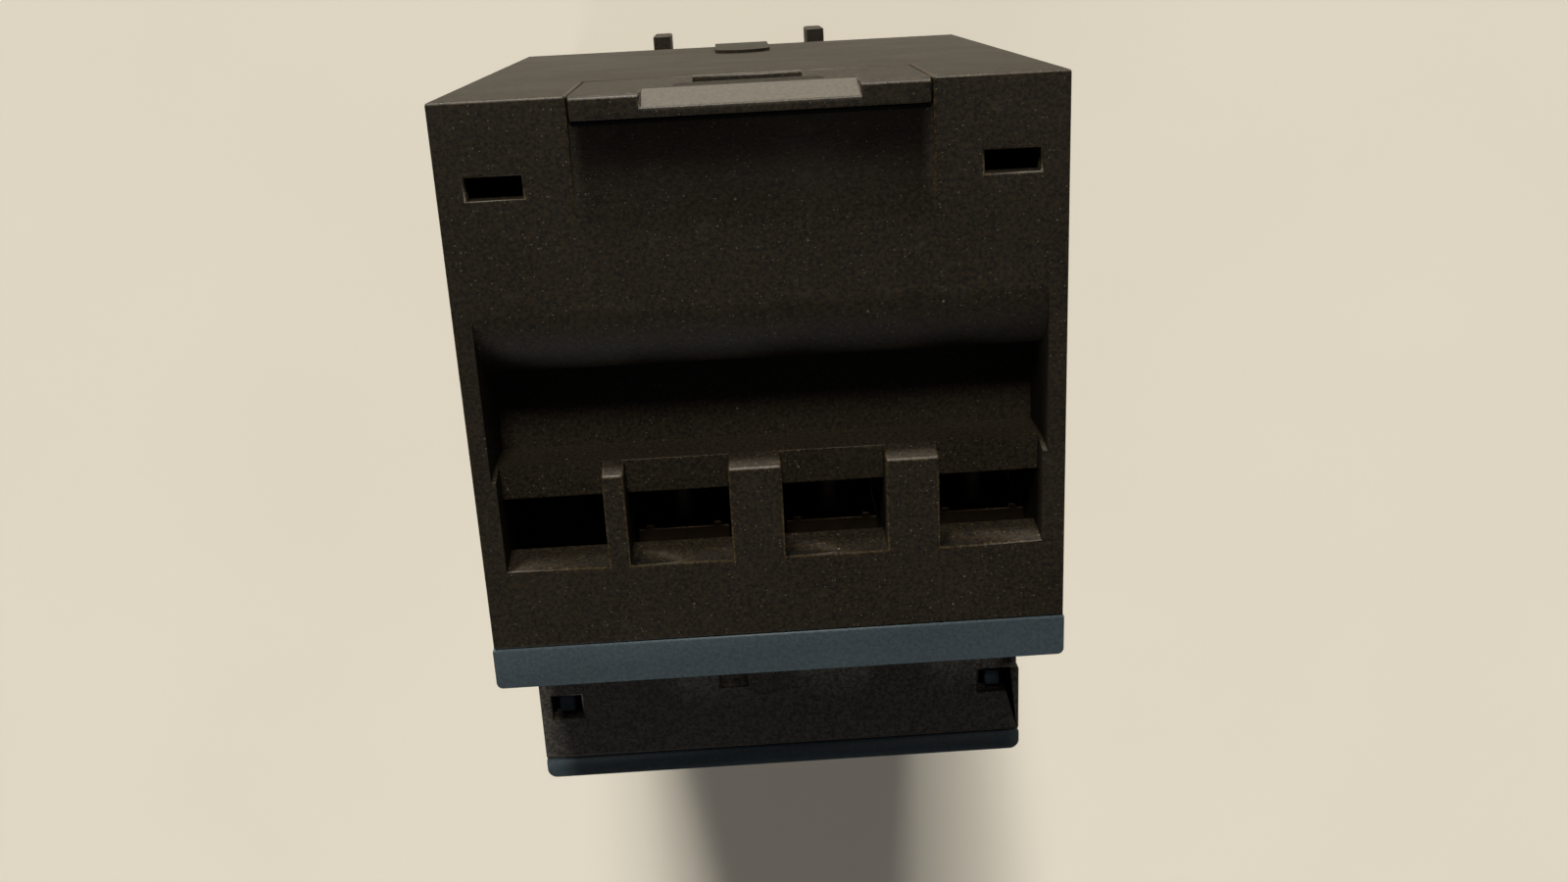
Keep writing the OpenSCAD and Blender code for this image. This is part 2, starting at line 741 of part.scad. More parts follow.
// A stack of arc plates between two cheeks, with a notch towards the contacts
module arc_stack(x, e, notch_e) {
  for (s = [-1, 1]) slab([x + s * 3.65 - 0.25, x + s * 3.65 + 0.25], [31.2, 41.2], e);
  difference() {
    for (i = [0:5]) slab(about(x, 3.5), [31.6 + i * 1.7, 32.3 + i * 1.7], e);
    slab(about(x, 1), [31, 42], notch_e);
  }
}
module arc_plates() color([0.5, 0.5, 0.5]) {
  from_top() for (x = pole_x) {
    arc_stack(x, [17.6, 21.6], [20, 22]);
    arc_stack(x, [40.6, 43.6], [40, 42]);
  }
}

// ---- Setting and test ----

module setting_dial() color([0.85, 0.84, 0.80]) {
  difference() {
    rod(dial_x, dial_z, dial_r, [front_d + 0.7, dial_front]);
    slab(about(dial_x, 4), [dial_front - 1, dial_front + over], about(dial_z, 0.5));
    slab(about(dial_x, 1.3), [dial_front - 1, dial_front + over], about(dial_z, 1.3));
    rod(dial_x, dial_z, dial_shaft_r, [front_d, dial_front - 1.6]);
  }
}

module dial_shaft() color([0.7, 0.7, 0.68]) {
  rod(dial_x, dial_z, dial_shaft_r, [36, dial_front - 1.6]);
  translate([0.7, 0, 0]) rod(dial_x, dial_z, 0.6, [33, 36.2]);
}

// The sloping faces of the test plunger and the trip slide stay parallel
function wedge_at(d) = wedge_x + (wedge_front - d) * trip_travel / test_travel;
module test_plunger() color([0.62, 0.10, 0.08]) {
  front = cover_front - 0.6;
  half = test_w[1] / 2;
  difference() {
    slab([test_x - test_w[0] / 2, test_x + test_w[0] / 2], [60, front], about(dial_z, half));
    slab(about(test_x, 0.5), [front - 0.9, front + over], about(dial_z, 2.2));
  }
  flat_profile(about(dial_z, 1.4), [
    [wedge_x, 60.1], [wedge_x, wedge_front], [wedge_at(test_tip_d), test_tip_d],
    [test_x + 0.6, test_tip_d], [test_x + 0.6, 60.1]
  ]);
  slab([test_x - 1.9, test_x + 1.5], [54, 55.2], about(dial_z, 2.6));
}

module test_spring() color([0.75, 0.75, 0.75]) {
  translate([test_x - 0.4, y_at(floor_d[1] + 0.1), dial_z]) rotate([90, 0, 0]) spring(2.5, 0.25, 10, 5);
}

module trip_slide() color([0.80, 0.78, 0.70]) {
  from_top() {
    slab([-17.6, 18.4], trip_d, trip_e);
    for (x = pole_x) slab([x - 2.9, x - 1.9], [trip_d[0] + 1, trip_d[1] - 1], [trip_e[1] - 0.1, 52.6]);
    slab([-17.6, -15.4], [trip_d[1] - 0.1, 40.6], trip_e);
    slab([-17.6, -15.4], [38.4, 40.6], [trip_e[0], z_top - dial_z + 0.2]);
  }
  flat_profile([dial_z - 0.2, dial_z + 1.8], [
    [-15.5, 38.4], [wedge_at(38.4) - 0.15, 38.4], [wedge_at(42.4) - 0.15, 42.4],
    [-14.2, 42.4], [-14.2, 41.6], [-15.5, 41.6]
  ]);
}

rear_housing();
front_housing();
front_cover();
upper_terminal_cover();
lower_terminal_cover();
bay_cover();
name_label();
housing_screws();
rail_latch();
latch_spring();
handle();
lock_tab();
handle_shaft();
drive_cam();
mechanism_frame();
contact_carrier();
carrier_spring();
contact_springs();
setting_dial();
dial_shaft();
test_plunger();
test_spring();
trip_slide();
for (i = [0:2]) {
  n = str("_", i + 1);
  line_bar(pole_x[i]);
  middle_bar(pole_x[i]);
  load_bar(pole_x[i]);
  from_top() clamp_plate(pole_x[i]);
  from_bottom() clamp_plate(pole_x[i]);
  from_top() clamp_screw(pole_x[i]);
  from_bottom() clamp_screw(pole_x[i]);
  contact_bridge(pole_x[i]);
  release_coil(pole_x[i]);
  striker(pole_x[i]);
  bimetal(pole_x[i]);
  heater(pole_x[i]);
}
arc_plates();
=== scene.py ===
# %% [markdown]
# # A motor protection breaker
#
# This breaker clips on a 35 mm rail in a switchgear cabinet. Two mouldings make its body, blue-grey
# covers close the front, and a rotary handle switches three poles. The imported CAD model is the
# fixed frame: every size and place below comes from it, in metres. We load it first and keep its
# box, which is printed at the end.

# %% Load the frame
import json
import math

import bmesh
import bpy
from mathutils import Matrix, Vector


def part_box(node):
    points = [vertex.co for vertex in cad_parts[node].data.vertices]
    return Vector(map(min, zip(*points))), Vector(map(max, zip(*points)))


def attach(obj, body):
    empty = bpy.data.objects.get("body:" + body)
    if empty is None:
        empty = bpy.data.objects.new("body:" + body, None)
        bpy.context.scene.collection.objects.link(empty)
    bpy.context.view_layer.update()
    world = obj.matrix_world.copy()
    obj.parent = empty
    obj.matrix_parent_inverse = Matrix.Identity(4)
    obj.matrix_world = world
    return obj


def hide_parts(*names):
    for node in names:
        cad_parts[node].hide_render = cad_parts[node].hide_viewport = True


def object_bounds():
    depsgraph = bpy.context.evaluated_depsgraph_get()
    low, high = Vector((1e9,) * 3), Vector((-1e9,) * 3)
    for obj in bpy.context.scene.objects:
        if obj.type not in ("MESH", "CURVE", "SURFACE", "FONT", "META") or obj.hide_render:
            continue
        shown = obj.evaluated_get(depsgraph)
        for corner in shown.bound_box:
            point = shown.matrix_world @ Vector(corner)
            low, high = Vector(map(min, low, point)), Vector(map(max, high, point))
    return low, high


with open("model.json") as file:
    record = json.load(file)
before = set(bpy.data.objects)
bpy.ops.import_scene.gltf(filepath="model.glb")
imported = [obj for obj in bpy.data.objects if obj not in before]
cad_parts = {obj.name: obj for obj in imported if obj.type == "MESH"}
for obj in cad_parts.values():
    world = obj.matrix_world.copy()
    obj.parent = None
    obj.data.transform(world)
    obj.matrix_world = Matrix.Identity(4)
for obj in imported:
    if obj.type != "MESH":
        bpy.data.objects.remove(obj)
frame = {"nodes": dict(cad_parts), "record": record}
cad_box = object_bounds()
nodes = frame["nodes"]
MM = 0.001

# %% [markdown]
# ## The camera
#
# The breaker is seen on its upper end, from close by, with the rear plane towards the top of the
# frame. A camera that looks almost straight down needs its own idea of up, so its axes are built
# by hand from the direction of view and the rear direction, and then rolled a little.

# %% Place the camera
CAMERA_AT = Vector((-1.2, 12.8, 171.3)) * MM
CAMERA_LOOKS = Vector((0.022, -0.321, -0.947)).normalized()
CAMERA_ROLL = math.radians(-2.95)
CAMERA_LENS = 32.2


def place_camera():
    data = bpy.data.cameras.new("camera")
    data.lens = CAMERA_LENS
    data.sensor_width = 36
    data.clip_start = 0.005
    data.clip_end = 50
    camera = bpy.data.objects.new("camera", data)
    bpy.context.collection.objects.link(camera)
    back = -CAMERA_LOOKS
    right = Vector((0, 1, 0)).cross(back).normalized()
    axes = Matrix((right, back.cross(right), back)).transposed().to_4x4()
    camera.matrix_world = Matrix.Translation(CAMERA_AT) @ axes @ Matrix.Rotation(CAMERA_ROLL, 4, "Z")
    bpy.context.scene.camera = camera
    return camera


camera = place_camera()
print("camera height above the rail centre, mm:", round(camera.location.z / MM, 1))

# %% [markdown]
# ## Shader maths
#
# Long chains of Math nodes are hard to read. A small class wraps a socket and overloads the usual
# operators, so that `1 - mask * 0.3` adds the nodes by itself. One method makes every other node:
# it takes the node's type, its settings and the values or links of its sockets.


# %% A socket in an expression
class Wire:
    def __init__(self, finish, socket):
        self.finish = finish
        self.socket = socket

    def maths(self, operation, a, b):
        return self.finish.node("ShaderNodeMath", {"operation": operation}, {0: a, 1: b})

    def output(self, name):
        return Wire(self.finish, self.socket.node.outputs[name])

    def rise(self, start, end):
        """Zero at start and one at end, straight between and flat outside."""
        slope = 1 / (end - start)
        values = {0: self, 1: slope, 2: -start * slope}
        return self.finish.node("ShaderNodeMath", {"operation": "MULTIPLY_ADD", "use_clamp": True}, values)

    def __add__(self, other):
        return self.maths("ADD", self, other)

    def __sub__(self, other):
        return self.maths("SUBTRACT", self, other)

    def __rsub__(self, other):
        return self.maths("SUBTRACT", other, self)

    def __mul__(self, other):
        return self.maths("MULTIPLY", self, other)

    __radd__ = __add__
    __rmul__ = __mul__


# %% A finish, with one method that adds any node
FLECK_EDGE = (0.74, 0.88)


class Finish:
    """A material and the nodes that it is made of."""

    def __init__(self, name):
        self.material = bpy.data.materials.new(name)
        self.material.use_nodes = True
        self.tree = self.material.node_tree
        self.skin = self.tree.nodes["Principled BSDF"]
        self.place = self.node("ShaderNodeTexCoord", out="Object")

    def node(self, kind, settings=None, values=None, out=0):
        made = self.tree.nodes.new(kind)
        for key, value in (settings or {}).items():
            if key == "stops":
                self.set_stops(made.color_ramp, value)
            else:
                setattr(made, key, value)
        self.feed(made, values or {})
        return Wire(self, made.outputs[out])

    def feed(self, made, values):
        for key, value in values.items():
            if isinstance(value, Wire):
                self.tree.links.new(value.socket, made.inputs[key])
            else:
                made.inputs[key].default_value = value

    def set_stops(self, ramp, stops):
        for element, (position, level) in zip(ramp.elements, stops):
            element.position = position
            element.color = (level, level, level, 1)

    def noise(self, size, detail=2.0, roughness=0.5, place=None):
        values = {"Vector": place or self.place, "Scale": 1 / size, "Detail": detail, "Roughness": roughness}
        return self.node("ShaderNodeTexNoise", {}, values)

    def flecks(self, spacing, share):
        """Round dots in cells of one spacing, kept in a share of the cells."""
        values = {"Vector": self.place, "Scale": 1 / spacing}
        cell = self.node("ShaderNodeTexVoronoi", {}, values, out="Distance")
        kept = self.above(cell.output("Color"), 1 - share, 1.1 - share)
        return self.above(1 - cell, *FLECK_EDGE) * kept

    def above(self, value, low, high):
        return self.node("ShaderNodeValToRGB", {"stops": [(low, 0), (high, 1)]}, {"Fac": value})

    def blend(self, mask, a, b):
        return self.node("ShaderNodeMix", {"data_type": "RGBA"}, {0: mask, 6: a, 7: b}, out=2)

    def axes(self):
        """The distance from the centre plane, then y and z."""
        x = self.node("ShaderNodeSeparateXYZ", {}, {0: self.place}, out="X")
        across = self.node("ShaderNodeMath", {"operation": "ABSOLUTE"}, {0: x})
        return across, x.output("Y"), x.output("Z")

    def stretched(self, scale):
        return self.node("ShaderNodeMapping", {}, {"Vector": self.place, "Scale": scale})

    def bump(self, height, distance):
        values = {"Height": height, "Distance": distance, "Strength": 1.0}
        return self.node("ShaderNodeBump", {}, values)

    def done(self, **sockets):
        self.feed(self.skin, {key.replace("_", " "): value for key, value in sockets.items()})
        return self.material


# %% [markdown]
# ## Moulded plastic
#
# The mouldings are glass-filled plastic with a spark-eroded grain. Close up the grain shows as a
# fine uneven bump, with tiny pale flecks where fibres reach the surface and a slow mottling of
# colour and gloss from handling. One noise could only give one of these sizes, so each gets its
# own: cells for the flecks, and three noises for grain, dust and mottling. The grain is strong in
# the black body and soft in the smoother covers and knobs. Edges rub smoother and paler, so the
# shells have a worn finish for them. Two places carry painted light: the floor in front of the
# latch head is smoother and its colour holds painted shade, and the head's ramp holds a painted
# highlight.


# %% The grain of a moulding
PLASTIC_GLOSS = 0.22
GRAIN = 0.3 * MM
FIBRE = (0.42, 0.38, 0.31)
DUST_SHARE = 0.04
COARSE_FLECK = 0.46 * MM
FINE_FLECK = 0.26 * MM


def shade(colour, gain):
    return (*[min(1.0, c * gain) for c in colour], 1)


def moulded(name, colour, rough=0.62, relief=0.03, specks=0.5, contrast=1.0, patch=None):
    finish = Finish(name)
    mottle = finish.noise(8 * MM, 4, 0.6)
    fine = finish.noise(GRAIN, 4, 0.75)
    dots = finish.flecks(COARSE_FLECK, 0.12) + finish.flecks(FINE_FLECK, 0.3) * 0.55
    dust = finish.above(finish.noise(1.6 * MM, 5, 0.7), 0.58, 0.82)
    tone = mottle * 0.25 + finish.above(fine, 0.4, 0.6) * 0.75
    base = finish.blend(tone, shade(colour, 1 - 0.9 * contrast), shade(colour, 1 + 1.3 * contrast))
    base = finish.blend(dust * DUST_SHARE, base, shade(FIBRE, 0.6))
    base = finish.blend(dots * specks, base, shade(FIBRE, 1.0))
    rough = rough + (mottle - 0.5) * 0.25 + dust * 0.08 - dots * 0.08
    # A patch paints light or shade into the base colour: painted shade on the latch recess, a painted
    # highlight on the latch ramp.
    if patch:
        mask, patch_colour, change = patch(finish)
        base = finish.blend(mask * (fine * 0.8 + 0.4), base, patch_colour)
        rough = rough + mask * change
    return finish.done(
        Base_Color=base,
        Roughness=rough,
        Normal=finish.bump(fine + dots * 0.4, relief * MM),
        Specular_IOR_Level=PLASTIC_GLOSS,
    )


# %% Two places of painted light, measured from the latch's box
BLACK = (0.0086, 0.0058, 0.0024)
# Painted highlight colour for the latch ramp.
RAMP_HIGHLIGHT = (0.075, 0.068, 0.056, 1)
RECESS_FADES = (-5.5 * MM, 0.5 * MM)
RAMP_SIDE = (7.9 * MM, 7.6 * MM)
latch_half, latch_rear, latch_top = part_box("rail_latch")[1]


def latch_recess(finish):
    """Painted shade on the floor in front of the latch head: a far darker colour that fades out forwards,
    with lower roughness.
    """
    across, y, z = finish.axes()
    sides = across.rise(latch_half + 0.4 * MM, latch_half - 0.8 * MM)
    floor = z.rise(latch_top - 1.5 * MM, latch_top - MM)
    # shade(BLACK, 0.15) is painted shade; the lowered roughness makes the floor smoother.
    return sides * floor * y.rise(*RECESS_FADES), shade(BLACK, 0.15), -0.3


def latch_ramp(finish):
    """Painted highlight on the ramp of the latch head: a pale colour where light falls on it."""
    across, y, z = finish.axes()
    slope = z.rise(latch_top - 3.2 * MM, latch_top - 2.9 * MM)
    rear = y.rise(latch_rear - 1.3 * MM, latch_rear - 1.0 * MM)
    return across.rise(*RAMP_SIDE) * slope * rear, RAMP_HIGHLIGHT, -0.05


print("latch box corner, mm:", [round(place / MM, 2) for place in (latch_half, latch_rear, latch_top)])

# %% Make the plastics
BLUE_GREY = (0.034, 0.047, 0.056)
SOFT = 0.2
plastics = {
    "black": moulded("black moulding", BLACK, specks=0.3),
    "rear_black_painted_shade": moulded("black moulding, smooth recess with painted shade", BLACK, specks=0.3, patch=latch_recess),
    "latch_black_painted_highlight": moulded("black moulding, ramp with painted highlight", BLACK, specks=0.3, patch=latch_ramp),
    "black_worn": moulded("black moulding, rubbed edge", shade(BLACK, 1.7)[:3], 0.45, specks=0.3),
    # The front moulding is a greyer plastic, and its colour is also painted lighter to make up for the shade
    # it stands in.
    "front_black_lightened": moulded("front moulding, lightened against shade", (0.040, 0.036, 0.031), 0.6, specks=0.2),
    "grey": moulded("blue-grey moulding", BLUE_GREY, 0.5, relief=0.01, specks=0.08, contrast=SOFT),
    # The front cover's colour is painted 1.25 times lighter than the other covers, to make up for the shade
    # its top edge stands in.
    "front_grey_lightened": moulded(
        "front cover moulding, lightened against shade", shade(BLUE_GREY, 1.25)[:3], 0.5, relief=0.01, specks=0.08, contrast=SOFT
    ),
    "grey_worn": moulded(
        "blue-grey moulding, rubbed edge", shade(BLUE_GREY, 1.3)[:3], 0.42, specks=0.04, contrast=SOFT
    ),
    "handle": moulded(
        "handle moulding", (0.012, 0.012, 0.012), 0.42, relief=0.008, specks=0.05, contrast=SOFT
    ),
    "red": moulded("red moulding", (0.32, 0.025, 0.018), 0.4, relief=0.006, specks=0.03, contrast=SOFT),
    "ivory": moulded("ivory moulding", (0.60, 0.55, 0.44), 0.45, relief=0.006, specks=0.03, contrast=SOFT),
    "brown": moulded("brown thermoset", (0.16, 0.055, 0.03), 0.5, relief=0.01, specks=0.25, contrast=SOFT),
}
print("plastics:", len(plastics))

# %% [markdown]
# ## Metals, wire and print
#
# Pressed metal shows rolling lines along one direction, with faint stains. A noise stretched by a
# Mapping node draws the lines. Wound wire gets a wave in its bump, because the turns are too fine
# to model one by one.


# %% Make the metals and the rest
ROLLING = (1, 1, 12)


def rolled(name, colour, rough, stain=0.5):
    finish = Finish(name)
    scratch = finish.noise(0.6 * MM, 4, 0.7, finish.stretched(ROLLING))
    spots = finish.above(finish.noise(1.5 * MM, 5, 0.6), 0.5, 0.8)
    base = finish.blend(scratch * 0.5 + spots * stain, shade(colour, 1.1), shade(colour, 0.55))
    return finish.done(
        Base_Color=base,
        Metallic=1.0,
        Roughness=rough + scratch * 0.2 + spots * 0.15,
        Normal=finish.bump(scratch, 0.004 * MM),
    )


def wound(name, colour):
    finish = Finish(name)
    wave = {"Vector": finish.place, "Scale": 0.16 / MM, "Distortion": 0.3}
    turns = finish.node("ShaderNodeTexWave", {"bands_direction": "Y"}, wave, out="Fac")
    tint = finish.noise(2 * MM, 3)
    base = finish.blend(turns * 0.6 + tint * 0.4, shade(colour, 0.45), shade(colour, 1.3))
    bump = finish.bump(turns, 0.06 * MM)
    return finish.done(Base_Color=base, Metallic=0.9, Roughness=0.3 + tint * 0.2, Normal=bump)


def printed(name, colour):
    finish = Finish(name)
    fibre = finish.noise(0.12 * MM, 4, 0.7)
    smudge = finish.noise(3 * MM, 4, 0.6)
    base = finish.blend(fibre * 0.4 + smudge * 0.6, shade(colour, 0.82), shade(colour, 1.05))
    bump = finish.bump(fibre, 0.004 * MM)
    return finish.done(Base_Color=base, Roughness=0.45 + smudge * 0.2, Normal=bump)


metals = {
    "copper": rolled("copper strip", (0.78, 0.36, 0.20), 0.28),
    "zinc": rolled("zinc-plated steel", (0.60, 0.59, 0.55), 0.32),
    "spring": rolled("spring wire", (0.55, 0.55, 0.57), 0.25, stain=0.2),
    # Clamps and screws sit inside the wire entries; their colours are painted dark as the shade there, so
    # only glints show.
    "clamp": rolled("clamp brass, darkened as painted shade", (0.06, 0.040, 0.024), 0.4),
    "screw": rolled("screw steel, darkened as painted shade", (0.07, 0.055, 0.045), 0.3),
    "heater": rolled("heater ribbon", (0.30, 0.26, 0.22), 0.5),
    "winding": wound("coil winding", (0.62, 0.27, 0.12)),
}
label_film = printed("label film", (0.72, 0.72, 0.70))
white_print = printed("white print", (0.70, 0.71, 0.70))
print("metals:", len(metals))

# %% [markdown]
# ## Rounded shells
#
# A CAD edge is perfectly sharp, and nothing moulded is. Each visible shell is therefore a copy of
# its CAD node with small radii. The copy is merged first, because the frame holds loose triangles,
# and coplanar triangles are joined. Then each convex edge with room around it gets a bevel, whose
# new faces take the worn finish. Other sharp edges stay sharp. Normals are weighted by face area, so
# a large flat face stays flat to the eye and only the narrow strips beside it turn.

# %% Round the edges of a copy
ROUND_FROM = math.radians(25)
SHARP_FROM = math.radians(16)
MERGE_WITHIN = 0.002 * MM
EDGE_SEGMENTS = 2


def merged_copy(node):
    grid = bmesh.new()
    grid.from_mesh(nodes[node].data)
    bmesh.ops.remove_doubles(grid, verts=grid.verts, dist=MERGE_WITHIN)
    bmesh.ops.dissolve_limit(
        grid, angle_limit=math.radians(0.5), verts=grid.verts, edges=grid.edges, delimit={"NORMAL"}
    )
    return grid


def has_room(edge, width):
    near = [other for vert in edge.verts for other in vert.link_edges]
    return all(other.calc_length() > 2.4 * width for other in near)


def roundable(edge, width):
    if len(edge.link_faces) != 2 or not edge.is_convex:
        return False
    return edge.calc_face_angle(0) > ROUND_FROM and has_room(edge, width)


def as_plain_mesh(piece, name):
    seen = piece.evaluated_get(bpy.context.evaluated_depsgraph_get())
    mesh = bpy.data.meshes.new_from_object(seen)
    mesh.name = name
    piece.modifiers.clear()
    piece.data = mesh


def new_piece(name, mesh, *materials):
    for material in materials:
        mesh.materials.append(material)
    piece = bpy.data.objects.new(name, mesh)
    bpy.context.collection.objects.link(piece)
    return piece


def rounded(node, body, plain, worn, width):
    grid = merged_copy(node)
    weight = grid.edges.layers.float.new("bevel_weight_edge")
    chosen = [edge for edge in grid.edges if roundable(edge, width)]
    for edge in grid.edges:
        edge.smooth = edge.calc_face_angle(0) < SHARP_FROM
    for edge in chosen:
        edge[weight] = 1.0
        edge.smooth = True
    for face in grid.faces:
        face.smooth = True
    mesh = bpy.data.meshes.new(node + "_shell")
    grid.to_mesh(mesh)
    grid.free()
    piece = new_piece(node + "_shell", mesh, plain, worn)
    bevel = piece.modifiers.new("round", "BEVEL")
    bevel.limit_method = "WEIGHT"
    bevel.width = width
    bevel.segments = EDGE_SEGMENTS
    bevel.use_clamp_overlap = False
    bevel.material = 1
    even = piece.modifiers.new("even normals", "WEIGHTED_NORMAL")
    even.keep_sharp = True
    as_plain_mesh(piece, node + "_shell")
    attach(piece, body)
    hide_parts(node)
    print(node, "rounded edges:", len(chosen))


# %% Round every shell that shows
body_of = {node: body for body, names in frame["record"]["behaviour"]["bodies"].items() for node in names}
SHELLS = {
    "rear_housing": ("rear_black_painted_shade", "black_worn", 0.2),
    "front_housing": ("front_black_lightened", "black_worn", 0.2),
    "front_cover": ("front_grey_lightened", "grey_worn", 0.25),
    "upper_terminal_cover": ("grey", "grey_worn", 0.2),
    "lower_terminal_cover": ("grey", "grey_worn", 0.2),
    "bay_cover": ("handle", "black_worn", 0.15),
    "rail_latch": ("latch_black_painted_highlight", "black_worn", 0.12),
    "handle": ("handle", "handle", 0.35),
    "lock_tab": ("red", "red", 0.2),
    "setting_dial": ("ivory", "ivory", 0.15),
    "test_plunger": ("red", "red", 0.15),
}
for node, (plain, worn, width) in SHELLS.items():
    rounded(node, body_of[node], plastics[plain], plastics[worn], width * MM)
for node in [n for n in nodes if "_clamp_" in n or "_screw_" in n]:
    metal = metals["clamp" if "clamp" in node else "screw"]
    rounded(node, body_of[node], metal, metal, 0.1 * MM)

# %% [markdown]
# ## Finishes of the pieces inside
#
# The inner pieces keep their CAD meshes. Only their materials change, chosen by the record's
# material slot of each node.

# %% Dress the CAD nodes that stay
INNER = {
    "copper": metals["copper"],
    "zinc_steel": metals["zinc"],
    "spring_steel": metals["spring"],
    "ivory_moulding": plastics["ivory"],
    "carrier_brown": plastics["brown"],
    "winding": metals["winding"],
    "heater_alloy": metals["heater"],
    "label_white": label_film,
}
dressed = 0
for part in frame["record"]["subparts"]:
    if part["material_slot"] in INNER:
        mesh = nodes[part["node"]].data
        mesh.materials.clear()
        mesh.materials.append(INNER[part["material_slot"]])
        dressed += 1
print("inner nodes dressed:", dressed)

# %% [markdown]
# ## Rows and rings of small detail
#
# Grip ribs, pads and scale ticks are one small shape repeated along a line or round an axis. One
# Geometry Nodes tree does both: it puts copies of the piece's own mesh on a line of points and
# turns each a little further about the depth axis. The result is made real and becomes one mesh.


# %% Build the repeating tree
def repeat_tree(material):
    tree = bpy.data.node_groups.new("repeat", "GeometryNodeTree")
    face = tree.interface
    face.new_socket("Shape", in_out="INPUT", socket_type="NodeSocketGeometry")
    kinds = {"Count": "Int", "Start": "Vector", "Step": "Vector", "First turn": "Float", "Turn": "Float"}
    for title, kind in kinds.items():
        face.new_socket(title, in_out="INPUT", socket_type="NodeSocket" + kind)
    face.new_socket("Result", in_out="OUTPUT", socket_type="NodeSocketGeometry")

    def add(kind, inputs, **settings):
        made = tree.nodes.new(kind)
        for key, value in settings.items():
            setattr(made, key, value)
        for key, value in inputs.items():
            if isinstance(value, bpy.types.NodeSocket):
                tree.links.new(value, made.inputs[key])
            else:
                made.inputs[key].default_value = value
        return made.outputs[0]

    given = tree.nodes.new("NodeGroupInput").outputs
    line_inputs = {"Count": given["Count"], "Start Location": given["Start"], "Offset": given["Step"]}
    line = add("GeometryNodeMeshLine", line_inputs)
    index = add("GeometryNodeInputIndex", {})
    terms = {0: index, 1: given["Turn"], 2: given["First turn"]}
    turn = add("ShaderNodeCombineXYZ", {"Y": add("ShaderNodeMath", terms, operation="MULTIPLY_ADD")})
    placed = {"Points": line, "Instance": given["Shape"], "Rotation": turn}
    copies = add("GeometryNodeInstanceOnPoints", placed)
    real = add("GeometryNodeRealizeInstances", {0: copies})
    painted = add("GeometryNodeSetMaterial", {"Geometry": real, "Material": material})
    tree.links.new(painted, tree.nodes.new("NodeGroupOutput").inputs["Result"])
    return tree


def block(size, soft, offset=(0, 0, 0)):
    grid = bmesh.new()
    bmesh.ops.create_cube(grid, size=1)
    bmesh.ops.scale(grid, vec=size, verts=grid.verts)
    bmesh.ops.bevel(
        grid, geom=grid.edges[:], offset=soft, segments=EDGE_SEGMENTS, affect="EDGES", profile=0.5
    )
    bmesh.ops.translate(grid, vec=offset, verts=grid.verts)
    mesh = bpy.data.meshes.new("block")
    grid.to_mesh(mesh)
    grid.free()
    return mesh


def repeated(name, body, shape, material, slot, **sizes):
    piece = new_piece(name, shape, material)
    tree = repeat_tree(material)
    modifier = piece.modifiers.new("repeat", "NODES")
    modifier.node_group = tree
    titles = {item.name: item.identifier for item in tree.interface.items_tree if item.in_out == "INPUT"}
    for title, value in sizes.items():
        modifier[titles[title.replace("_", " ").capitalize()]] = value
    as_plain_mesh(piece, name)
    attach(piece, body)
    print(name, "faces:", len(piece.data.polygons))


# %% Ribs on the handle's grip
lo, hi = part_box("handle")
centre_z = (lo[2] + hi[2]) / 2
GRIP_HALF = 4 * MM
RIB_STEP = 2.4 * MM
RIB_COUNT = 9
rib = (0.7 * MM, 3.6 * MM, 0.5 * MM)
for side in (-1, 1):
    start = (-(RIB_COUNT - 1) / 2 * RIB_STEP, lo[1] + rib[1], centre_z + side * GRIP_HALF)
    sizes = {"count": RIB_COUNT, "start": start, "step": (RIB_STEP, 0, 0)}
    name = "grip_ribs_upper" if side > 0 else "grip_ribs_lower"
    ribs = block(rib, 0.15 * MM)
    repeated(name, body_of["handle"], ribs, plastics["handle"], "handle_black", **sizes)

# %% Ticks round the current dial and the handle
dial_lo, dial_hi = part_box("setting_dial")
dial_at = ((dial_lo[0] + dial_hi[0]) / 2, (dial_lo[2] + dial_hi[2]) / 2)
LABEL_SUNK = 0.1 * MM
DIAL_RING = 7.6 * MM
HANDLE_RING = 16.1 * MM
TICK_THICK = 0.06 * MM
face_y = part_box("name_label")[0][1] - LABEL_SUNK
print("front face y, mm:", round(face_y / MM, 2))


def ticks(name, at, radius, size, count, first, last):
    shape = block((size[0], TICK_THICK, size[1]), 0.02 * MM, (0, 0, radius))
    turn = math.radians(last - first) / (count - 1)
    start = (at[0], face_y - 0.01 * MM, at[1])
    sizes = {"count": count, "start": start, "first_turn": math.radians(first), "turn": turn}
    repeated(name, "housing", shape, white_print, "label_white", **sizes)


ticks("dial_ticks", dial_at, DIAL_RING, (0.25 * MM, 0.8 * MM), 10, -120, 60)
ticks("handle_ticks", (0, centre_z), HANDLE_RING, (0.5 * MM, 1.2 * MM), 2, -90, 0)

# %% [markdown]
# ## Marks that the mould leaves
#
# Large plain walls of a moulding are never quite plain. Ejector pins leave shallow round pads, and
# thin raised lines keep neighbouring devices a hair apart. They stand less than a tenth of a
# millimetre proud of their wall, and stay inside the CAD box. The tree above repeats them.


# %% A round pad on a side wall
def pad(radius, thick):
    grid = bmesh.new()
    bmesh.ops.create_cone(
        grid, cap_ends=True, segments=28, radius1=radius, radius2=radius * 0.94, depth=thick
    )
    bmesh.ops.rotate(grid, matrix=Matrix.Rotation(math.pi / 2, 3, "Y"), verts=grid.verts)
    mesh = bpy.data.meshes.new("pad")
    grid.to_mesh(mesh)
    grid.free()
    return mesh


